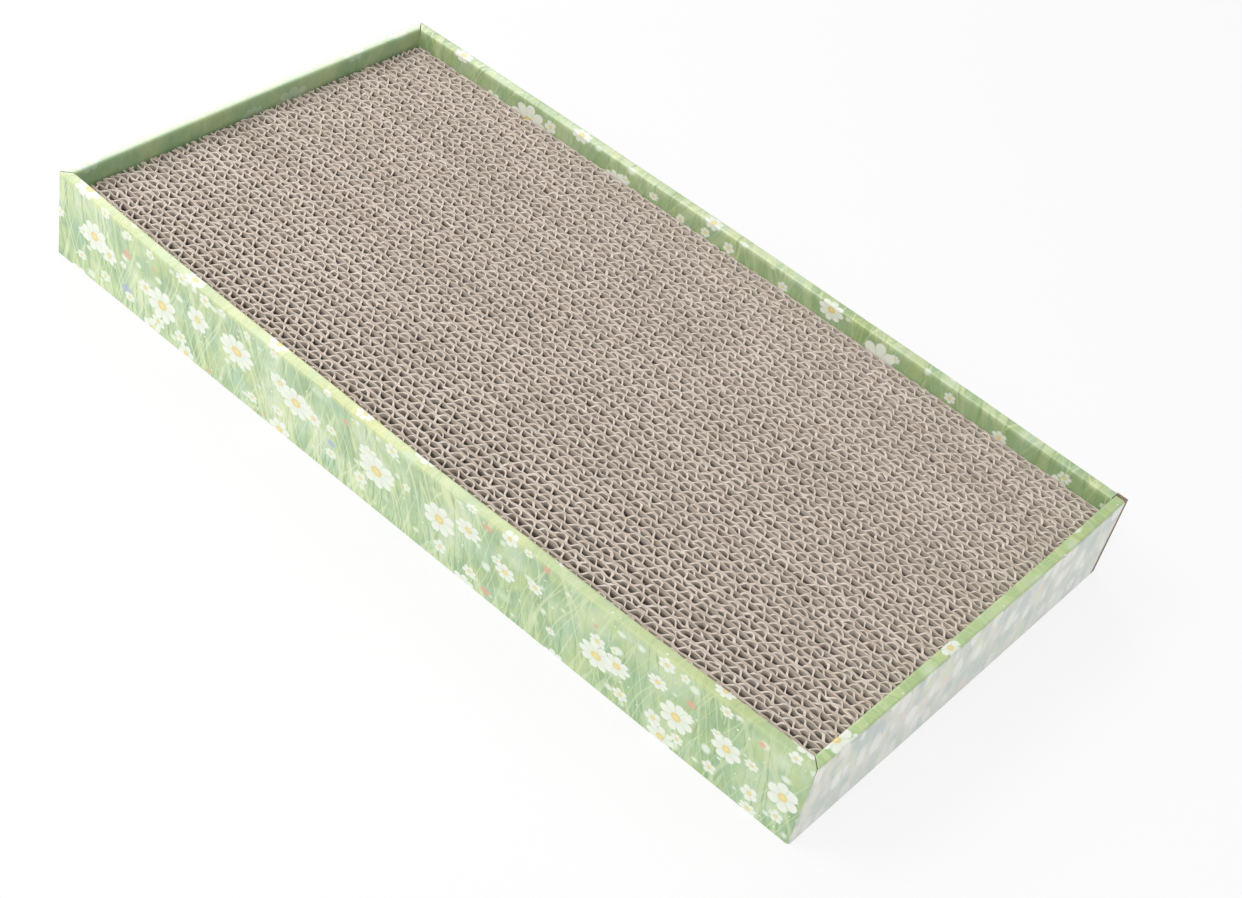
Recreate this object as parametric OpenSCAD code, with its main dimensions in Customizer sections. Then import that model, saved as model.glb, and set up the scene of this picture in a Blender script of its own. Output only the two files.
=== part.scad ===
// Cardboard cat scratcher: a folded board tray that holds a lift-out pad of corrugated boards on edge.
// Millimetres, +Z up. The origin is the middle of the footprint, on the surface the tray stands on.
// +X runs along the length, and -Y is the long side nearest the viewer.

/* [Tray] */
// Length over the end walls
tray_l = 480; // [320:1:700]
// Width over the long walls
tray_w = 250; // [180:1:360]
// Height of the walls
tray_h = 50; // [44:1:90]
// Thickness of the tray's board
card_t = 2.8; // [1.6:0.1:4]
// Gap between the outer and the rolled-in layer of a wall
fold_gap = 0.4; // [0.2:0.1:1.2]
// Radius of the two folds that make the flat rim
fold_r = 1.2; // [0.5:0.1:1.5]

/* [Tray locks] */
// Length of a tongue under a rolled-in layer
tongue_l = 42; // [20:1:60]
// Clearance of a tongue in its notch in the base
tongue_clear = 0.4; // [0.2:0.1:1]
// Height of a tongue's end above the floor
tongue_lift = 0.5; // [0.2:0.1:1]

/* [Pad] */
// Height of the pad
pad_h = 37; // [24:1:38]
// Number of boards glued side by side
boards = 29; // [12:1:32]
// Clearance between the pad and each long wall
side_clear = 0.5; // [0.3:0.1:2]
// Clearance between the pad and each end wall
end_clear = 1; // [0.5:0.5:5]
// Clearance between the pad and the base
seat_clear = 0.2; // [0.1:0.1:0.6]

/* [Corrugated board] */
// Length of one wave of the high flute
high_wave_l = 9.1; // [7:0.1:14]
// Length of one wave of the low flute
low_wave_l = 8.2; // [6:0.1:13]
// Thickness of a flat liner
liner_t = 0.35; // [0.2:0.05:0.5]
// Thickness of a fluted sheet
flute_t = 0.35; // [0.2:0.05:0.5]
// Height of the low flute layer as a share of both flute layers
low_flute_share = 0.44; // [0.35:0.01:0.65]

/* [Hidden] */
// Places of the tongues along a long wall and along an end wall, from the wall's middle
long_tongue_shares = [-0.29, 0.29];
end_tongue_shares = [0];
// Glued foot at each end of a fluted sheet, and the glue line at its other crests
foot_l = 0.8;
glue_t = 0.05;
// Overrun of every cut past the face that it opens
over = 1;
// Facets of every round form
$fn = 48;

wall_t = 2 * card_t + fold_gap;
base_l = tray_l - 2 * card_t;
base_w = tray_w - 2 * card_t;
pad_l = tray_l - 2 * wall_t - 2 * end_clear;
pad_w = tray_w - 2 * wall_t - 2 * side_clear;
pad_z = card_t + seat_clear;
board_t = pad_w / boards;
low_flute = (board_t - 3 * liner_t) * low_flute_share;
high_flute = board_t - 3 * liner_t - low_flute;

function board_name(i) = str("pad_board_", i < 9 ? "0" : "", i + 1);

// Section of a wall: outer layer, flat rim with two rounded folds, and the layer rolled in onto the base
module wall_section() {
    difference() {
        union() {
            square([wall_t, tray_h - fold_r]);
            translate([fold_r, 0]) square([wall_t - 2 * fold_r, tray_h]);
            for (x = [fold_r, wall_t - fold_r]) translate([x, tray_h - fold_r]) circle(r = fold_r);
        }
        translate([card_t, -over]) square([fold_gap, tray_h - card_t + over]);
        translate([card_t, -over]) square([wall_t - card_t + over, card_t + over]);
    }
}

// Tongues of the rolled-in layer, which stand in the notches of the base
module tongues(length, shares) {
    for (s = shares)
        translate([s * length - tongue_l / 2, card_t + fold_gap, tongue_lift])
            cube([tongue_l, card_t, 2 * card_t - tongue_lift]);
}

// A wall along +X, its outer face on the XZ plane and its middle at the origin
module wall_run(length, shares) {
    translate([-length / 2, 0, 0]) rotate([90, 0, 90]) linear_extrude(length) wall_section();
    tongues(length, shares);
}

// Space that a wall may fill between its two corners: 1 for a mitred corner, 0 for a square one
module corner_keep(length, left_mitre, right_mitre) {
    end = length / 2;
    deep = 2 * wall_t;
    translate([0, 0, -over]) linear_extrude(tray_h + 2 * over)
        polygon([[-end, 0], [end, 0], [end - right_mitre * deep, deep], [left_mitre * deep - end, deep]]);
}

// Notches in the base's edge for the tongues of the wall along -Y
module base_notches(length, width, shares) {
    for (s = shares)
        translate([s * length - tongue_l / 2 - tongue_clear, card_t - width / 2 - over, -over])
            cube([tongue_l + 2 * tongue_clear, wall_t - card_t + tongue_clear + over, card_t + 2 * over]);
}

module base_panel() {
    color("burlywood") difference() {
        translate([-base_l / 2, -base_w / 2, 0]) cube([base_l, base_w, card_t]);
        for (turn = [0, 180]) {
            rotate(turn) base_notches(tray_l, tray_w, long_tongue_shares);
            rotate(turn + 90) base_notches(tray_w, tray_l, end_tongue_shares);
        }
    }
}

module front_wall() {
    color("yellowgreen") translate([0, -tray_w / 2, 0]) intersection() {
        wall_run(tray_l, long_tongue_shares);
        corner_keep(tray_l, 1, 1);
    }
}

module left_wall() {
    color("darkseagreen") translate([-tray_l / 2, 0, 0]) rotate(-90) intersection() {
        wall_run(tray_w, end_tongue_shares);
        corner_keep(tray_w, 1, 1);
    }
}

// The strip of walls ends in the right back corner, where this wall butts against the back wall's outer layer
module right_wall() {
    color("darkseagreen") translate([tray_l / 2, 0, 0]) rotate(90) intersection() {
        wall_run(tray_w, end_tongue_shares);
        corner_keep(tray_w, 1, 0);
        translate([-tray_w / 2, 0, 0]) cube([tray_w - card_t, wall_t, tray_h]);
    }
}

// The outer layer runs on past the right wall's end, and the rim and the rolled-in layer stop short of it
module back_wall() {
    color("yellowgreen") translate([0, tray_w / 2, 0]) rotate(180) {
        intersection() {
            wall_run(tray_l, long_tongue_shares);
            corner_keep(tray_l, 0, 1);
            translate([wall_t - tray_l / 2, 0, 0]) cube([tray_l - wall_t, wall_t, tray_h]);
        }
        translate([-tray_l / 2, 0, 0]) cube([wall_t, card_t, tray_h]);
    }
}

// One fluted sheet in a gap of this height: it starts on the far liner and ends on the near one, so it has an odd
// number of slopes
module fluted_sheet(height, wave_l) {
    slopes = 2 * round(pad_l / wave_l) - 1;
    slope_l = (pad_l - 2 * foot_l) / slopes;
    sheet_y = flute_t * sqrt(1 + pow(height / slope_l, 2));
    function top_y(k) =
        k == 0 ? height :
        k == slopes ? sheet_y :
        k % 2 == 0 ? height - glue_t : glue_t + sheet_y;
    top = [for (k = [0 : slopes]) [foot_l + k * slope_l, top_y(k)]];
    bottom = [for (k = [slopes : -1 : 0]) [foot_l + k * slope_l, top_y(k) - sheet_y]];
    linear_extrude(pad_h) polygon(concat(
        [[0, height - sheet_y], [0, height]], top,
        [[pad_l, sheet_y], [pad_l, 0]], bottom
    ));
}

// One double-wall board on edge: three liners, a high flute layer and a low one
module board() {
    for (y = [0, liner_t + high_flute, board_t - liner_t]) translate([0, y, 0]) cube([pad_l, liner_t, pad_h]);
    translate([0, liner_t, 0]) fluted_sheet(high_flute, high_wave_l);
    translate([0, 2 * liner_t + high_flute, 0]) fluted_sheet(low_flute, low_wave_l);
}

// Every second board is turned end for end, with its high flute layer still towards the front
module pad_board(i) {
    turned = i % 2;
    color(turned ? "rosybrown" : "tan")
        translate([0, i * board_t - pad_w / 2, pad_z + pad_h / 2])
            rotate([0, turned * 180, 0]) translate([-pad_l / 2, 0, -pad_h / 2]) board();
}

base_panel();
front_wall();
back_wall();
left_wall();
right_wall();
for (i = [0 : boards - 1]) pad_board(i);
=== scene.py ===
from collections import namedtuple
import math
import random

import bmesh
import bpy
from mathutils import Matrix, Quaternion, Vector, noise


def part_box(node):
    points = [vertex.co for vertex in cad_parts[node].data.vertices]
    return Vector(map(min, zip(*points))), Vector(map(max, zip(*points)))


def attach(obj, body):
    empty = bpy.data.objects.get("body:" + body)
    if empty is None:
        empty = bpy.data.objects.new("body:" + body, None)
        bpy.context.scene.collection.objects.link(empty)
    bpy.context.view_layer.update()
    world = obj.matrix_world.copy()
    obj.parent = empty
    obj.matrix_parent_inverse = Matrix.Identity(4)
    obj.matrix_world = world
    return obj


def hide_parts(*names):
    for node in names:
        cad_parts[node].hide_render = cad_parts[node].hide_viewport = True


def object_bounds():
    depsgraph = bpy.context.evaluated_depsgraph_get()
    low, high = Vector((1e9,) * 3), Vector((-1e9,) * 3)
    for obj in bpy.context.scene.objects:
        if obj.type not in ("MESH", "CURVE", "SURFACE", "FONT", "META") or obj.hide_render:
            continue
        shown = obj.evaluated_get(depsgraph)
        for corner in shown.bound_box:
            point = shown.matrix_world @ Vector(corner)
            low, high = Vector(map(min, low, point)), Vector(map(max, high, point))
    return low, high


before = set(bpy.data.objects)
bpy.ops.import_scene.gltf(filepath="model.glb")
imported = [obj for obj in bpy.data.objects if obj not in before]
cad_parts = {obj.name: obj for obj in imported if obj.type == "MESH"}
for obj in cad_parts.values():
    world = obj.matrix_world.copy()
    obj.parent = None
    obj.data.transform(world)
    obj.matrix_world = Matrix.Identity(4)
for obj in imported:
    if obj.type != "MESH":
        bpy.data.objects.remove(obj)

cad_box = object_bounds()

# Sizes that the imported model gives, in metres
MM = 0.001
LENGTH = cad_box[1].x - cad_box[0].x
WIDTH = cad_box[1].y - cad_box[0].y
HEIGHT = cad_box[1].z
LONG, SHORT = LENGTH / 2, WIDTH / 2
BASE_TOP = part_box("base_panel")[1].z
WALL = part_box("left_wall")[1].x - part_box("left_wall")[0].x
BOARDS = sorted(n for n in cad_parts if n.startswith("pad_board"))
PAD_LOW, PAD_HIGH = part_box(BOARDS[0])[0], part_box(BOARDS[-1])[1]
BOARD = (PAD_HIGH.y - PAD_LOW.y) / len(BOARDS)

# Sizes of the card and of the pad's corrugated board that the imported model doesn't name
CARD = 2.8 * MM
FOLD_R = 1.2 * MM
LINER = 0.35 * MM
MEDIUM = 0.35 * MM
LOW_SHARE = 0.44
HIGH_WAVE = 9.1 * MM
LOW_WAVE = 8.2 * MM
TONGUE = 42 * MM
TONGUE_LIFT = 0.5 * MM
LONG_TONGUES = (-0.29, 0.29)
END_TONGUES = (0,)
CARD_WAVE = 6.4 * MM

# Where each wall starts along the printed strip, which runs round the tray from its right back corner
BACK_START = 0
LEFT_START = LENGTH
FRONT_START = LENGTH + WIDTH
RIGHT_START = 2 * LENGTH + WIDTH

# How far the tops of the walls lean out at mid length
FRONT_BOW = 4.2 * MM
BACK_BOW = 2.6 * MM
END_BOW = 0.8 * MM


def clamp(value, low=0.0, high=1.0):
    return max(low, min(high, value))


def smoothstep(low, high, value):
    t = clamp((value - low) / (high - low))
    return t * t * (3 - 2 * t)


def settle(x, y, z):
    """Where a point of the straight model lies on the real thing, whose walls lean out and ripple."""
    lean = clamp(z / HEIGHT) ** 1.5
    along_long = 1 - (x / LONG) ** 2
    along_end = 1 - (y / SHORT) ** 2
    side = smoothstep(0.55, 0.98, abs(y) / SHORT) * (-FRONT_BOW if y < 0 else BACK_BOW)
    end = smoothstep(0.9, 0.99, abs(x) / LONG) * math.copysign(END_BOW, x)
    ripple = noise.noise(Vector((x * 14, y * 14, 0.3))) * 0.5 * MM * lean
    return Vector((x + end * along_end * lean, y + side * along_long * lean + ripple, z))


# Finishes

class Reading:
    """A value, vector or colour at an output of a node. Arithmetic on values adds Math nodes."""

    def __init__(self, finish, node, output=0):
        self.finish, self.node, self.socket = finish, node, node.outputs[output]

    def out(self, output):
        return Reading(self.finish, self.node, output)

    def math(self, operation, *others):
        return self.finish.add("Math", {"operation": operation}, dict(enumerate((self, *others))))

    def __add__(self, other):
        return self.math("ADD", other)

    def __sub__(self, other):
        return self.math("SUBTRACT", other)

    def __mul__(self, other):
        return self.math("MULTIPLY", other)

    def __truediv__(self, other):
        return self.math("DIVIDE", other)

    def __pow__(self, other):
        return self.math("POWER", other)

    def __rsub__(self, other):
        return self.finish.add("Math", {"operation": "SUBTRACT"}, {0: other, 1: self})

    def __lt__(self, other):
        return self.math("LESS_THAN", other)

    def __gt__(self, other):
        return self.math("GREATER_THAN", other)

    def __abs__(self):
        return self.math("ABSOLUTE")

    __radd__ = __add__
    __rmul__ = __mul__

    def clamped(self):
        return self.finish.add("Clamp", {}, {"Value": self})

    def above(self, start, steepness):
        """0 up to a start, and rising to 1 past it."""
        return ((self - start) * steepness).clamped()

    def below(self, start, steepness):
        """0 from a start on, and rising to 1 before it."""
        return ((start - self) * steepness).clamped()

    def waves(self, length):
        """A sine from -1 to 1 that repeats over a length."""
        return (self * (math.tau / length)).math("SINE")

    def band(self, centre, half_width, soft):
        """1 within half_width of a centre, falling to 0 over soft."""
        return ((half_width + soft - abs(self - centre)) / soft).clamped()

    def ramp(self, *stops):
        """A colour that changes with this value, from (place, colour) stops."""
        return self.finish.add("ValToRGB", {"stops": stops}, {"Fac": self})


def socket_name(key):
    """The shader's name of a socket, from a keyword such as base_color."""
    return key.replace("_", " ").title().replace("Ior", "IOR")


class Finish:
    """A material under construction: one Principled shader, and what feeds it."""

    def __init__(self, name, **constants):
        self.material = bpy.data.materials.new(name)
        self.material.use_nodes = True
        self.tree = self.material.node_tree
        self.shader = self.tree.nodes["Principled BSDF"]
        for key, value in constants.items():
            self.shader.inputs[socket_name(key)].default_value = value

    def add(self, kind, settings, sockets, output=0):
        """A new node of a kind, from its settings and the values or readings that its sockets take."""
        node = self.tree.nodes.new("ShaderNode" + kind)
        for name, value in settings.items():
            if name == "stops":
                self.set_stops(node.color_ramp, value)
            else:
                setattr(node, name, value)
        for name, value in sockets.items():
            self.feed(node.inputs[name], value)
        return Reading(self, node, output)

    def feed(self, socket, value):
        if isinstance(value, Reading):
            self.tree.links.new(value.socket, socket)
        elif socket.type == "RGBA":
            socket.default_value = (*value, 1)
        else:
            socket.default_value = value

    def set_stops(self, ramp, stops):
        while len(ramp.elements) < len(stops):
            ramp.elements.new(1)
        for element, (place, colour) in zip(ramp.elements, stops):
            element.position = place
            element.color = (*colour, 1)

    def put(self, **sockets):
        """Links readings to the shader's own sockets."""
        for key, reading in sockets.items():
            self.feed(self.shader.inputs[socket_name(key)], reading)

    def mix(self, factor, a, b):
        """Colour b over colour a by factor."""
        return self.add("Mix", {"data_type": "RGBA"}, {0: factor, 6: a, 7: b}, output=2)

    def vector(self, operation, a, b):
        return self.add("VectorMath", {"operation": operation}, {0: a, 1: b})

    def split(self, vector):
        parts = self.add("SeparateXYZ", {}, {0: vector})
        return parts, parts.out(1), parts.out(2)

    def join(self, x, y, z=0.0):
        return self.add("CombineXYZ", {}, {0: x, 1: y, 2: z})

    def object_place(self):
        return self.add("TexCoord", {}, {}, output="Object")

    def unrolled(self):
        """Distances along and across the printed sheet, in metres."""
        return self.add("UVMap", {"uv_map": "unrolled"}, {})

    def noise(self, vector, scale, detail, roughness=0.55):
        sockets = {"Vector": vector, "Scale": scale, "Detail": detail, "Roughness": roughness}
        return self.add("TexNoise", {}, sockets)

    def bump(self, height, distance):
        self.put(normal=self.add("Bump", {}, {"Height": height, "Distance": distance}))


def paint(red, green, blue):
    """The colour that a screen shows as these numbers from 0 to 255."""
    def linear(c):
        c = c / 255
        return c / 12.92 if c <= 0.04045 else ((c + 0.055) / 1.055) ** 2.4
    return linear(red), linear(green), linear(blue)


# The printed sheet's unrolled distance from its lower edge, at each fold
FOLD_ARC = FOLD_R * math.pi / 2
OUTER_FOLD = HEIGHT - FOLD_R + FOLD_ARC / 2
INNER_FOLD = OUTER_FOLD + FOLD_ARC + WALL - 2 * FOLD_R


# Marks at scattered points: how far apart the points are, the share of them that bear a mark, its largest
# radius, and over what distance its edge fades. The seed shifts the points.
Spots = namedtuple("Spots", "spacing share radius soft tint seed")
Flowers = namedtuple("Flowers", "spacing share radius petals soft seed")


class MeadowPrint(Finish):
    """Printed paper: white blossoms with yellow middles over soft green, with thin blades of grass. Painted
    shade darkens it inside the tray and towards its right end, a painted reflection washes out the right end,
    and a painted highlight whitens the left end's rim.
    """

    # How far the blades of a layer lean, how closely they stand, and their colour
    BLADES = (
        (0.1, 230, paint(122, 160, 102)),
        (-0.3, 140, paint(224, 235, 190)),
        (0.45, 110, paint(226, 235, 186)),
    )
    SPECKS = (
        Spots(31 * MM, 0.6, 8 * MM, 6 * MM, paint(206, 226, 190), 12),
        Spots(13 * MM, 0.5, 3.6 * MM, 1.8 * MM, paint(234, 243, 226), 2),
        Spots(6 * MM, 0.25, 0.9 * MM, 0.4 * MM, paint(236, 245, 226), 9),
        Spots(41 * MM, 0.5, 4 * MM, 1.6 * MM, paint(224, 164, 132), 3),
        Spots(53 * MM, 0.4, 4.4 * MM, 2 * MM, paint(160, 174, 208), 5),
    )
    BLOSSOMS = (
        Flowers(18 * MM, 0.66, 5.2 * MM, 5, 0.9 * MM, 1),
        Flowers(30 * MM, 0.78, 9 * MM, 6, 0.8 * MM, 4),
        Flowers(48 * MM, 0.85, 13.6 * MM, 8, 0.7 * MM, 6),
    )
    # Soft spots over the right end's print, which is washed out by a painted reflection
    HAZE = (
        Spots(22 * MM, 0.6, 12 * MM, 5 * MM, paint(168, 188, 190), 17),
        Spots(19 * MM, 0.5, 10 * MM, 5 * MM, paint(218, 232, 178), 16),
        Spots(27 * MM, 0.5, 10 * MM, 5 * MM, paint(242, 216, 202), 18),
        Spots(15 * MM, 0.65, 10 * MM, 4 * MM, paint(255, 254, 248), 15),
    )

    def __init__(self):
        super().__init__("printed_card", roughness=0.4, coat_weight=0.8, coat_roughness=0.2, coat_ior=1.6)
        place = self.unrolled()
        along, up, _ = self.split(place)
        self.on_right = along > RIGHT_START
        self.on_left = along.band((LEFT_START + FRONT_START) / 2, WIDTH / 2, 1 * MM)
        colour = self.grass(place, along, up)
        for spots in self.SPECKS:
            colour = self.specks(colour, place, spots)
        for flowers in self.BLOSSOMS:
            colour = self.blossoms(colour, place, flowers)
        colour = self.painted_light_on_ends(colour, along, up)
        colour = self.wear(colour, place, along, up)
        self.put(base_color=colour)
        fibres = self.noise(place, 900, 2)
        self.bump(fibres * 0.35 + along.waves(CARD_WAVE) * 0.2, 0.06 * MM)

    def grass(self, place, along, up):
        """Soft green with thin blades that run up the wall and paler over the rim, with painted shade inside
        the tray and towards the tray's right end."""
        patch = self.noise(self.join(along, up * 0.8), 40, 3)
        warmth = self.noise(self.join(along, up * 0.7, 2.0), 85, 3, 0.6)
        drift = self.noise(place, 16, 1) * (14 * MM)
        lean = along + up * 0.15 + drift
        streak = self.noise(self.join(lean * 330, up * 26), 1, 3, 0.6)
        green = patch.ramp((0.36, paint(143, 174, 124)), (0.5, paint(171, 198, 147)),
                           (0.64, paint(212, 226, 190)))
        green = self.mix(warmth.above(0.5, 7) * 0.55, green, paint(206, 219, 142))
        green = self.mix(warmth.below(0.47, 7) * 0.5, green, paint(158, 198, 176))
        green = self.mix(streak.above(0.46, 2.2) * 0.6, green, paint(212, 227, 188))
        green = self.mix(streak.below(0.44, 2.6) * 0.5, green, paint(130, 168, 112))
        for layer, (tilt, closeness, tint) in enumerate(self.BLADES):
            leaning = along + up * tilt + drift
            blade = self.noise(self.join(leaning * closeness, up * 9, 4.0 + layer), 1, 1, 0.4)
            green = self.mix(blade.band(0.5, 0.008, 0.01) * 0.55, green, tint)
        rim = up.band((OUTER_FOLD + INNER_FOLD) / 2, 2.8 * MM, 3 * MM)
        sunny = self.noise(self.join(along, up * 0.5, 2.0), 26, 2).above(0.38, 3)
        pale = sunny.ramp((0, paint(208, 221, 172)), (1, paint(228, 225, 152)))
        on_back = along < LEFT_START
        green = self.mix(rim * (0.62 - self.on_right * 0.3 - on_back * 0.45), green, pale)
        green = self.mix(rim * self.on_right * 0.4, green, paint(166, 196, 122))
        # Painted shade: the print is darkened over the walls' inner faces, down inside the tray.
        inside = ((up - INNER_FOLD) / (3 * MM)).clamped()
        green = self.mix(inside * 0.45, green, paint(134, 160, 108))
        # Painted shade: darker over the right half of the front wall, and over the back wall's inner face
        # towards the tray's right end.
        front = ((along - FRONT_START - 250 * MM) / (200 * MM)).clamped() * (1 - self.on_right)
        back = (0.8 - along / (350 * MM)).clamped() * inside
        return self.mix((front + back) * 0.3, green, paint(134, 172, 112))

    def painted_light_on_ends(self, colour, along, up):
        """Painted light at the ends: a painted reflection that washes the right end's print into soft pale
        tints, painted shade over the left end's rim and inner face, and a painted highlight along the left
        end's rim.
        """
        # Painted reflection over the right end's print: its outer face is washed into pale, greyish tints
        # with soft spots, greyer towards the bottom.
        tall = self.join(along * 1.7 + up * 0.4, up * 0.7)
        reflection_washed_print = self.noise(tall, 60, 3).ramp((0.4, paint(182, 198, 188)), (0.6, paint(232, 229, 213)))
        for spots in self.HAZE:
            reflection_washed_print = self.specks(reflection_washed_print, tall, spots)
        reflection_washed_print = self.mix((1 - up / (22 * MM)).clamped() * 0.5, reflection_washed_print, paint(186, 198, 192))
        colour = self.mix(self.on_right * (up < OUTER_FOLD) * 0.85, colour, reflection_washed_print)
        # Painted shade: a darker green over the left end's rim, growing inwards, and over its whole inner
        # face.
        inward = ((up - OUTER_FOLD) / (INNER_FOLD - OUTER_FOLD)).clamped()
        painted_left_shade = self.noise(self.join(along, up), 45, 2)
        painted_left_shade = painted_left_shade.ramp((0.4, paint(134, 176, 130)), (0.6, paint(172, 194, 142)))
        colour = self.mix(self.on_left * (up > OUTER_FOLD) * inward * 0.7, colour, painted_left_shade)
        # Painted highlight: the left end's rim turns near white from its outer fold, fading inwards.
        edge = self.on_left * (up > OUTER_FOLD - FOLD_ARC) * (1 - inward)
        return self.mix(edge * 0.9, colour, paint(250, 253, 246))

    def cell(self, place, spacing, seed, randomness):
        """The place as seen from the nearest of some scattered points, and that point's three random values.

        A point inside the tray has its second value raised, so that fewer marks show there."""
        shifted = self.vector("ADD", place, (seed * 0.731, seed * 0.317, 0))
        points = self.add("TexVoronoi", {"voronoi_dimensions": "2D"},
                          {"Vector": shifted, "Scale": 1 / spacing, "Randomness": randomness})
        from_point = self.vector("SUBTRACT", shifted, points.out("Position"))
        x, y, _ = self.split(from_point)
        _, point_up, _ = self.split(self.vector("SUBTRACT", place, from_point))
        chances = self.add("SeparateColor", {}, {0: points.out("Color")})
        bare = (point_up > OUTER_FOLD + 1.5 * MM) * (0.3 + self.on_left * 0.4)
        return x, y, (chances, chances.out(1) + bare, chances.out(2))

    def specks(self, colour, place, spots):
        """Soft spots of one colour."""
        x, y, (first, second, third) = self.cell(place, spots.spacing, spots.seed, 0.8)
        size = (first * 0.6 + 0.4) * spots.radius
        apart = (x * x + (y * (1 + third * 0.8)) ** 2).math("SQRT")
        spot = ((size - apart) / spots.soft).clamped() * (second < spots.share)
        return self.mix(spot * 0.85, colour, spots.tint)

    def blossoms(self, colour, place, flowers):
        """White flowers on thin stems, each with its own size, tilt and number of petals."""
        x, y, (first, second, third) = self.cell(place, flowers.spacing, flowers.seed, 0.5)
        shown = second < flowers.share
        size = (first * 0.45 + 0.55) * flowers.radius
        stem = (x + y * (third - 0.5) * 0.6).band(0, 0.25 * MM, 0.3 * MM) * (y < 0) * shown
        colour = self.mix(stem * 0.6, colour, paint(196, 218, 156))
        tilted = y * (1 + third * 0.5)
        apart = (x * x + tilted * tilted).math("SQRT")
        turn = tilted.math("ARCTAN2", x)
        count = (third * 3 + flowers.petals).math("FLOOR")
        lobe = abs((turn * count * 0.5 + first * 6).math("SINE"))
        edge = size * (lobe ** 0.6 * 0.34 + 0.66)
        petal = ((edge - apart) / flowers.soft).clamped() * shown
        middle = ((size * 0.3 - apart) / (0.5 * flowers.soft)).clamped() * shown
        furrow = (0.35 - lobe).clamped() * 2
        shade = self.mix((apart / size).clamped() * 0.7, paint(228, 234, 216), paint(248, 251, 243))
        shade = self.mix(furrow, shade, paint(206, 218, 200))
        colour = self.mix(petal * 0.96, colour, shade)
        heart = self.mix((apart / (size * 0.3)).clamped(), paint(242, 226, 150), paint(226, 202, 128))
        return self.mix(middle, colour, heart)

    def wear(self, colour, place, along, up):
        """Paper that has paled where it is folded and rubbed."""
        rubbed = self.noise(place, 160, 3, 0.65)
        folds = up.band(OUTER_FOLD, 0.1 * MM, 0.6 * MM) * 0.2 + up.band(INNER_FOLD, 0.1 * MM, 0.5 * MM) * 0.4
        creases = (LEFT_START, FRONT_START, RIGHT_START)
        corners = sum(along.band(crease, 0.3 * MM, 0.9 * MM) for crease in creases)
        worn = ((folds + corners) * (rubbed - 0.3) * 1.2).clamped()
        return self.mix(worn * 0.5, colour, paint(232, 232, 212))


class Kraft(Finish):
    """Bare brown card with the lines of its flutes just showing."""

    def __init__(self, name, tint, flute_axis, lines=0.4):
        super().__init__(name, roughness=0.85)
        place = self.object_place()
        pulp = self.noise(place, 700, 4, 0.6)
        blotch = self.noise(place, 30, 2)
        shade = pulp * 0.55 + blotch * 0.45
        dark, light = [c * 0.82 for c in tint], [min(1, c * 1.12) for c in tint]
        self.put(base_color=shade.ramp((0.3, dark), (0.7, light)))
        across = self.split(place)[flute_axis]
        self.bump(across.waves(CARD_WAVE) * lines + pulp * 0.5, 0.08 * MM)


class CutEdge(Finish):
    """The cut edge of the tray's card: two liners with the wave of the fluted sheet between them, and painted
    shade in the hollows between the sheets.
    """

    def __init__(self):
        super().__init__("cut_edge", roughness=0.9)
        along, across, _ = self.split(self.unrolled())
        wave = along.waves(CARD_WAVE) * (CARD * 0.36) + CARD / 2
        sheet = (across - wave).band(0, 0.16 * MM, 0.12 * MM)
        liners = across.band(0, 0.24 * MM, 0.1 * MM) + across.band(CARD, 0.24 * MM, 0.1 * MM)
        paper = (sheet + liners).clamped()
        fibre = self.noise(self.object_place(), 1600, 3)
        brown = fibre.ramp((0.3, paint(138, 118, 100)), (0.7, paint(180, 160, 138)))
        # Painted shade: the hollows between the liners and the fluted sheet are painted dark.
        self.put(base_color=self.mix(paper, paint(74, 58, 46), brown))
        self.bump(paper + fibre * 0.3, 0.3 * MM)


class PadPaper(Finish):
    """Recycled paper of the pad: its tone drifts from sheet to sheet, its cut edges are pale and fuzzy,
    partly by a painted highlight, and painted shade darkens it down in the cells, under a painted band of
    bounce light."""

    def __init__(self):
        super().__init__("pad_paper", roughness=0.92)
        place = self.object_place()
        x, y, z = self.split(place)
        sheet = self.noise(self.join(x * 3, y * 130), 1, 1)
        patch = self.noise(place, 26, 3)
        hollow = self.noise(self.join(x, y), 130, 1).above(0.4, 5)
        fibre = self.noise(place, 1500, 3, 0.65)
        paper = sheet.ramp((0.34, paint(196, 180, 166)), (0.5, paint(206, 191, 178)),
                           (0.66, paint(213, 199, 188)))
        paper = self.mix(patch.above(0.4, 3) * 0.75, paper, paint(186, 172, 158))
        paper = self.mix((fibre - 0.5).clamped() * 1.2, paper, paint(180, 164, 148))
        depth = (PAD_HIGH.z - z).math("MINIMUM", z - PAD_LOW.z)
        inside = self.add("Attribute", {"attribute_name": "inside"}, {}, output="Fac")
        # Painted light: the paper just below the cut edges is lightened, as by light bounced into the cells.
        painted_bounce = ((depth - 0.4 * MM) / (0.6 * MM)).clamped() * inside
        paper = self.mix(painted_bounce * 0.7, paper, paint(236, 226, 215))
        # Painted shade: the paper darkens down in the cells, more in some cells than in others by the hollow
        # noise.
        shaded = ((depth - 1.9 * MM) / (1.8 * MM)).clamped() * inside
        paper = self.mix(shaded * (hollow * 0.3 + 0.65), paper, paint(104, 92, 83))
        fuzz = self.noise(place, 420, 2, 0.6)
        pale = self.add("Attribute", {"attribute_name": "pale"}, {}, output="Fac")
        # Partly real pale fuzz of the cut edges, partly a painted highlight on them.
        cut = ((1.2 * MM - depth) / (0.5 * MM)).clamped() * pale
        self.put(base_color=self.mix(cut * fuzz.above(0.3, 2.2), paper, paint(236, 225, 214)))
        washboard = x.waves(HIGH_WAVE) * (1 - inside)
        self.bump(fibre + washboard * 0.6, 0.12 * MM)


# The folded tray

# Material slots of a wall, in the order of card_finishes
PRINTED, KRAFT, CUT = range(3)


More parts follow.
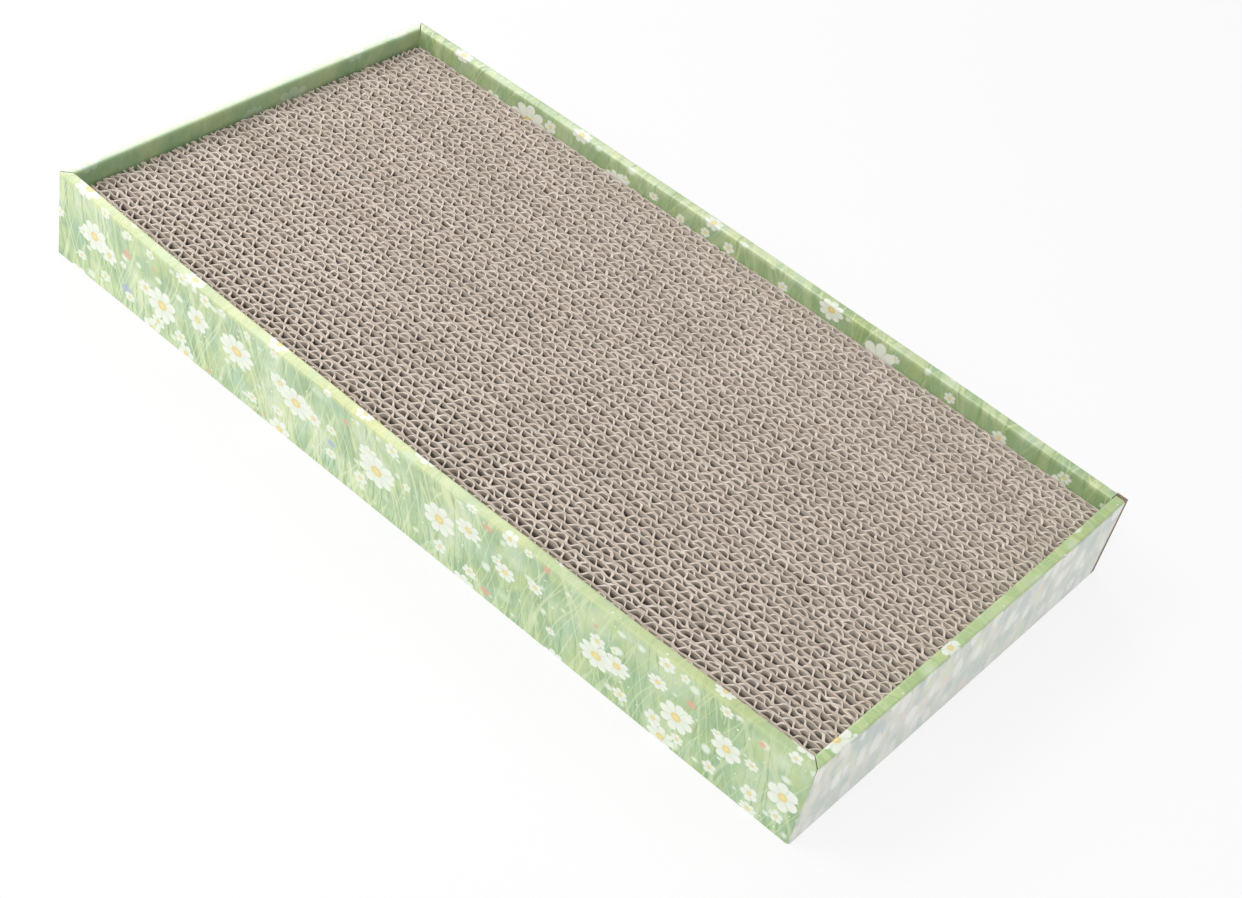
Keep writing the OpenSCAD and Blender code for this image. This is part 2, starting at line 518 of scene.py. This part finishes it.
def section_runs():
    """A wall's section as runs of points (depth from the outer face, height), each with its finish."""
    def line(start, end, steps):
        return [tuple(a + (b - a) * k / steps for a, b in zip(start, end)) for k in range(steps)]

    def fold(centre, start_degrees, steps):
        turns = [math.radians(start_degrees - 90 * k / steps) for k in range(steps)]
        return [(centre + FOLD_R * math.cos(t), HEIGHT - FOLD_R + FOLD_R * math.sin(t)) for t in turns]

    shoulder = HEIGHT - FOLD_R
    return [
        (PRINTED, line((0, 0), (0, shoulder), 16)),
        (PRINTED, fold(FOLD_R, 180, 5)),
        (PRINTED, line((FOLD_R, HEIGHT), (WALL - FOLD_R, HEIGHT), 5)),
        (PRINTED, fold(WALL - FOLD_R, 90, 5)),
        (PRINTED, line((WALL, shoulder), (WALL, BASE_TOP), 14)),
        (CUT, line((WALL, BASE_TOP), (WALL - CARD, BASE_TOP), 1)),
        (KRAFT, line((WALL - CARD, BASE_TOP), (WALL - CARD, HEIGHT - CARD), 4)),
        (KRAFT, line((WALL - CARD, HEIGHT - CARD), (CARD, HEIGHT - CARD), 1)),
        (KRAFT, line((CARD, HEIGHT - CARD), (CARD, 0), 4)),
        (CUT, line((CARD, 0), (0, 0), 1)),
    ]


class Corner:
    """One end of a wall: mitred or square, how far short of the corner it stops, and how its rim gapes."""

    def __init__(self, mitred=True, stop=0.0, gape=0.3 * MM, gape_depth=4 * MM):
        self.mitred, self.stop, self.gape, self.gape_depth = mitred, stop, gape, gape_depth

    def inset(self, depth, height):
        opening = self.gape * smoothstep(HEIGHT - self.gape_depth, HEIGHT, height)
        return self.stop + (depth + opening if self.mitred else 0)


# Radius of the vertical crease at a corner, and how far along the wall an end's inset fades out
CORNER_R = 1.6 * MM
CORNER_FADE = 40 * MM


def round_corner(along, depth):
    """Bends a wall's outer face round the vertical crease at its mitred end."""
    radius = CORNER_R - depth
    if radius <= 0 or along >= CORNER_R:
        return along, depth
    turn = math.pi / 4 * clamp((CORNER_R - along) / radius)
    return CORNER_R - radius * math.sin(turn), CORNER_R - radius * math.cos(turn)


def wall_stations(length, tongues):
    """Places along a wall where its mesh has a ring of points, closer together at its ends."""
    near = [k * MM for k in (0, 0.3, 0.6, 0.9, 1.2, 1.6, 2.4, 4, 7, 12)]
    start, steps = 18 * MM, 90
    middle = [start + (length - 2 * start) * k / steps for k in range(steps + 1)]
    edges = [length / 2 + share * length + side * TONGUE / 2 for share in tongues for side in (-1, 1)]
    return sorted(near + middle + edges + [length - s for s in near])


def grid(bm, columns, rows):
    """A flat sheet of new vertices: pairs of a vertex and its column and row."""
    verts = bmesh.ops.create_grid(bm, x_segments=columns - 1, y_segments=rows - 1, size=0.5)["verts"]
    return [(v, i % columns, i // columns) for i, v in enumerate(verts)]


def faces_of(verts):
    """The faces at some vertices, in the same order on each run."""
    return list(dict.fromkeys(f for v in verts for f in v.link_faces))


def finish_mesh(bm, name, materials, body, node, crease_degrees=35):
    """Turns a bmesh into a smooth-shaded piece that rides on a body in place of a CAD node."""
    for face in bm.faces:
        face.smooth = True
    for edge in bm.edges:
        edge.smooth = edge.is_manifold and edge.calc_face_angle(0) < math.radians(crease_degrees)
    mesh = bpy.data.meshes.new(name)
    bm.to_mesh(mesh)
    bm.free()
    for material in materials:
        mesh.materials.append(material)
    piece = bpy.data.objects.new(name, mesh)
    bpy.context.scene.collection.objects.link(piece)
    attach(piece, body)
    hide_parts(node)


def wall_shell(bm, length, ends, tongues, strip_start):
    """The folded card of one wall, in its own coordinates: along it, depth from its outer face, height."""
    runs = section_runs()
    points = [point for _, run in runs for point in run]
    finishes = [finish for finish, run in runs for _ in run]
    travel = [0.0]
    for a, b in zip(points, points[1:] + points[:1]):
        travel.append(travel[-1] + math.dist(a, b))
    stations = wall_stations(length, tongues)
    unrolled = bm.loops.layers.uv.new("unrolled")
    verts = grid(bm, len(stations), len(points) + 1)
    place = {}
    for v, column, row in verts:
        depth, height = points[row % len(points)]
        left, right = (corner.inset(depth, height) for corner in ends)
        s = stations[column]
        s += left * clamp(1 - s / CORNER_FADE) - right * clamp(1 - (length - s) / CORNER_FADE)
        place[v] = (s, depth, height, row)
        x, y = s, depth
        if ends[0].mitred:
            x, y = round_corner(x, y)
        if ends[1].mitred:
            from_end, y = round_corner(length - x, y)
            x = length - from_end
        v.co = (x, y, height)
    for face in faces_of(place):
        first = min(place[v][3] for v in face.verts)
        face.material_index = finishes[first]
        for loop in face.loops:
            s, depth, _, row = place[loop.vert]
            across = travel[row] if finishes[first] == PRINTED else min(depth, WALL - depth)
            loop[unrolled].uv = (strip_start + s, across)
    top_row = {column: v for v, column, row in verts if row == len(points)}
    low_row = {column: v for v, column, row in verts if row == 0}
    bmesh.ops.weld_verts(bm, targetmap={v: low_row[column] for column, v in top_row.items()})
    open_edges = [e for e in bm.edges if e.is_boundary]
    for face in bmesh.ops.edgeloop_fill(bm, edges=open_edges, mat_nr=CUT)["faces"]:
        for loop in face.loops:
            _, depth, height, _ = place[loop.vert]
            loop[unrolled].uv = (height, min(depth, WALL - depth))
    hang_tongues(bm, length, tongues)


def hang_tongues(bm, length, tongues):
    """Draws the tongues down from the lower edge of the rolled-in layer into the base."""
    def under_tongue(face):
        centre = face.calc_center_median()
        near = any(abs(centre.x - length / 2 - share * length) < TONGUE / 2 for share in tongues)
        level = abs(face.normal.z) > 0.9 and abs(centre.z - BASE_TOP) < 0.1 * MM
        return near and level and centre.y > WALL / 2
    bm.normal_update()
    drawn = bmesh.ops.extrude_face_region(bm, geom=[f for f in bm.faces if under_tongue(f)])["geom"]
    drop = Vector((0, 0, TONGUE_LIFT - BASE_TOP))
    bmesh.ops.translate(bm, verts=[v for v in drawn if isinstance(v, bmesh.types.BMVert)], vec=drop)


def open_card(bm, strip_start):
    """The end of the outer layer at the seam: two liners with upright flutes between, open at the cut."""
    unrolled = bm.loops.layers.uv.active
    levels = 8

    def upright(depth, steps, printed=False, swing=0.0):
        sheet = grid(bm, steps + 1, levels + 1)
        for v, column, row in sheet:
            s, z = WALL * column / steps, HEIGHT * row / levels
            curve = math.sin(math.tau * s / CARD_WAVE + 0.6)
            v.co = (s, depth + swing * (0.5 + 0.5 * curve), z)
        for face in faces_of(v for v, _, _ in sheet):
            face.material_index = PRINTED if printed else KRAFT
            for loop in face.loops:
                loop[unrolled].uv = (strip_start + loop.vert.co.x, loop.vert.co.z)
        before = set(bm.faces)
        bm.normal_update()
        bmesh.ops.solidify(bm, geom=faces_of(v for v, _, _ in sheet), thickness=LINER)
        for face in set(bm.faces) - before:
            face.material_index = KRAFT

    upright(0, 2, printed=True)
    upright(CARD - LINER, 2)
    upright(LINER, 14, swing=CARD - 3 * LINER)


def wall(node, turn, ends, strip_start, materials):
    """One wall of the tray, brought into its place by quarter turns."""
    along_length = turn % 2 == 0
    half_length, half_depth = (LONG, SHORT) if along_length else (SHORT, LONG)
    bm = bmesh.new()
    wall_shell(bm, 2 * half_length, ends, LONG_TONGUES if along_length else END_TONGUES, strip_start)
    bmesh.ops.recalc_face_normals(bm, faces=bm.faces)
    if ends[0].stop == WALL:
        open_card(bm, strip_start)
    for v in bm.verts:
        x, y = v.co.x - half_length, v.co.y - half_depth
        for _ in range(turn):
            x, y = -y, x
        v.co = settle(x, y, v.co.z)
    finish_mesh(bm, "printed_" + node, materials, "tray", node)


card_back = Kraft("card_back", paint(164, 147, 127), flute_axis=0)
card_finishes = [MeadowPrint().material, card_back.material, CutEdge().material]
creased = Corner()
torn = Corner(gape=0.25 * MM, gape_depth=3 * MM)
butted = Corner(mitred=False, stop=CARD)
open_ended = Corner(mitred=False, stop=WALL)
wall("front_wall", 0, (creased, torn), FRONT_START, card_finishes)
wall("right_wall", 1, (torn, butted), RIGHT_START, card_finishes)
wall("back_wall", 2, (open_ended, creased), BACK_START, card_finishes)
wall("left_wall", 3, (creased, creased), LEFT_START, card_finishes)

base_finish = Kraft("base_kraft", paint(178, 148, 110), flute_axis=1, lines=0.8)
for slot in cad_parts["base_panel"].material_slots:
    slot.material = base_finish.material


# The lift-out pad of corrugated boards on edge

PAD_LENGTH = PAD_HIGH.x - PAD_LOW.x
PAD_HEIGHT = PAD_HIGH.z - PAD_LOW.z

# Heights at which a sheet has a row of points, closer together near its cut edge
LEVELS = [0] + [PAD_HEIGHT - below * MM for below in (4, 1.6, 0.7, 0.25, 0)]

# Steps along a flat liner and along one wave of a flute, and how broad the flute's crests are
LINER_STEPS = 260
WAVE_STEPS = 14
CREST_WIDTH = 1.7

# How far down the fray reaches, and the depth at which it would be nothing
FRAYED = 3.5 * MM
UNFRAYED = 4 * MM

# A sheet of the pad: its thickness, how far its cut edge swells and is cut short, and how pale that edge is,
# which is partly real pale fuzz and partly a painted highlight
Sheet = namedtuple("Sheet", "thickness lip drop pale")
LINER_SHEET = Sheet(LINER, 0.25 * MM, 0, 0.1)
FLUTE_SHEET = Sheet(MEDIUM, 0.27 * MM, 0.35 * MM, 1)


def flute_curve(x, wave, start):
    """A fluted sheet's swing from 0 to 1: steep flanks and broad crests, with a slow drift in its pitch."""
    drift = noise.noise(Vector((x * 9, start, 0))) * 0.9
    turn = math.tau * (x / wave + start) + drift
    return 0.5 + 0.5 * math.tanh(CREST_WIDTH * math.sin(turn)) / math.tanh(CREST_WIDTH)


def upright_sheet(bm, y, kind, steps, swing=lambda x: 0):
    """A sheet on edge along the pad, swinging off its flat place, with a swollen lip along its cut edge."""
    older = set(bm.verts)
    sheet = grid(bm, steps + 1, len(LEVELS))
    for v, column, row in sheet:
        x = PAD_LOW.x + PAD_LENGTH * column / steps
        v.co = (x, y + swing(x), PAD_LOW.z + LEVELS[row] * (1 - kind.drop / PAD_HEIGHT))
    bm.normal_update()
    bmesh.ops.solidify(bm, geom=faces_of(v for v, _, _ in sheet), thickness=kind.thickness)
    bm.normal_update()
    pale = bm.verts.layers.float["pale"]
    for v in set(bm.verts) - older:
        below = (PAD_HIGH.z - kind.drop - v.co.z) / MM
        v[pale] = kind.pale
        if below < 1:
            fuzz = 1 + 1.3 * noise.noise(v.co * 450)
            swelling = kind.lip * fuzz * (0.7 if below < 0.1 else 1.3 - below)
            v.co += Vector((v.normal.x, v.normal.y, 0)).normalized() * swelling


def fluted_sheet(bm, y, room, wave, start):
    def swing(x):
        return (room - MEDIUM) * flute_curve(x, wave, start)
    upright_sheet(bm, y, FLUTE_SHEET, round(PAD_LENGTH / wave * WAVE_STEPS), swing)


def fray(bm, near, far, seed):
    """Wears the upper edges: they keep inside the board, and dip, tear a little and lean about."""
    for v in bm.verts:
        x, y, z = v.co
        v.co.y = clamp(y, near, far)
        below = PAD_HIGH.z - z
        if below > FRAYED:
            continue
        hold = 1 - below / UNFRAYED
        rough = noise.noise(Vector((x * 600, y * 600, seed)))
        tear = max(0, noise.noise(Vector((x * 340, y * 340, seed + 0.5))) - 0.28)
        v.co.z -= (0.14 + 0.2 * rough + 2.4 * tear) * hold * MM
        v.co.x += noise.noise(Vector((x * 260, y * 260, 7.0))) * hold * MM
        v.co.y += noise.noise(Vector((x * 260, y * 260, 3.0))) * hold * 0.95 * MM


def mark_inside(bm):
    """Stores how far each point is sheltered: 0 on the pad's outer faces and open ends, 1 in its cells. It
    masks the painted shade and painted bounce light in the cells.
    """
    inside = bm.verts.layers.float["inside"]
    for v in bm.verts:
        from_side = min(v.co.y - PAD_LOW.y, PAD_HIGH.y - v.co.y)
        from_end = min(v.co.x - PAD_LOW.x, PAD_HIGH.x - v.co.x)
        v[inside] = smoothstep(0.05 * MM, 0.3 * MM, from_side) * smoothstep(0, 5 * MM, from_end)


def comb_board(index, node, chance, materials):
    """One double-wall board: three liners, a high flute layer towards the front and a low one behind it."""
    bm = bmesh.new()
    for layer in ("pale", "inside"):
        bm.verts.layers.float.new(layer)
    near = PAD_LOW.y + index * BOARD
    room = BOARD - 3 * LINER
    low = room * LOW_SHARE
    high = room - low
    for place in (0, LINER + high, BOARD - LINER):
        upright_sheet(bm, near + place, LINER_SHEET, LINER_STEPS)
    fluted_sheet(bm, near + LINER, high, HIGH_WAVE, chance.random())
    fluted_sheet(bm, near + 2 * LINER + high, low, LOW_WAVE, chance.random())
    mark_inside(bm)
    fray(bm, near, near + BOARD, index)
    for v in bm.verts:
        v.co = settle(*v.co)
    name = f"comb_board_{index + 1:02d}"
    finish_mesh(bm, name, materials, "pad", node, crease_degrees=60)


pad_finishes = [PadPaper().material]
chance = random.Random(29)
for index, node in enumerate(BOARDS):
    comb_board(index, node, chance, pad_finishes)


# Floor, light and camera

def floor():
    """A pale floor that reads white to the camera but keeps the tray's shadow."""
    bm = bmesh.new()
    bmesh.ops.create_grid(bm, x_segments=1, y_segments=1, size=6)
    mesh = bpy.data.meshes.new("floor")
    bm.to_mesh(mesh)
    bm.free()
    ground = bpy.data.objects.new("floor", mesh)
    bpy.context.scene.collection.objects.link(ground)
    finish = Finish("floor", roughness=0.9)
    patches = finish.noise(finish.object_place(), 40, 2)
    finish.put(base_color=patches.ramp((0, (0.9, 0.9, 0.9)), (1, (0.92, 0.92, 0.92))))
    path = finish.add("LightPath", {}, {})
    seen = path.out("Is Camera Ray").math("MAXIMUM", path.out("Is Glossy Ray"))
    glow = finish.add("Emission", {}, {"Strength": 1.0})
    lit = Reading(finish, finish.shader)
    blend = finish.add("MixShader", {}, {0: seen * 0.78, 1: lit, 2: glow})
    finish.feed(finish.tree.nodes["Material Output"].inputs["Surface"], blend)
    mesh.materials.append(finish.material)


def softbox(name, place, size, power):
    """A square studio lamp aimed at the tray."""
    lamp = bpy.data.lights.new(name, "AREA")
    lamp.size, lamp.energy = size, power
    lit = bpy.data.objects.new(name, lamp)
    bpy.context.scene.collection.objects.link(lit)
    lit.location = place
    lit.rotation_mode = "QUATERNION"
    lit.rotation_quaternion = (-Vector(place)).to_track_quat("-Z", "Y")


def surroundings():
    """Even white light from all round."""
    world = bpy.data.worlds.new("studio")
    world.use_nodes = True
    background = world.node_tree.nodes["Background"]
    background.inputs["Color"].default_value = (1, 1, 1, 1)
    background.inputs["Strength"].default_value = 0.5
    bpy.context.scene.world = world


def camera():
    """The photograph's view: azimuth round the tray from -Y, elevation, and the roll of its framing."""
    azimuth, elevation, roll = (math.radians(a) for a in (31.53, 41.96, 14.52))
    look = Vector((-math.sin(azimuth) * math.cos(elevation), math.cos(azimuth) * math.cos(elevation),
                   -math.sin(elevation)))
    lens = bpy.data.cameras.new("camera")
    lens.lens, lens.sensor_width = 61.8, 36
    lens.clip_start = 0.05
    view = bpy.data.objects.new("camera", lens)
    bpy.context.scene.collection.objects.link(view)
    view.location = (0.4430, -0.6640, 0.7001)
    view.rotation_mode = "QUATERNION"
    view.rotation_quaternion = look.to_track_quat("-Z", "Y") @ Quaternion((0, 0, 1), roll)
    bpy.context.scene.camera = view


floor()
softbox("key", (0.6, -1.25, 1.8), 1.2, 15.5)
softbox("fill", (-0.8, -0.65, 0.95), 1, 8)
softbox("back", (-0.9, 0.7, 1.0), 0.8, 4)
surroundings()
camera()
bpy.context.scene.view_settings.view_transform = "Standard"
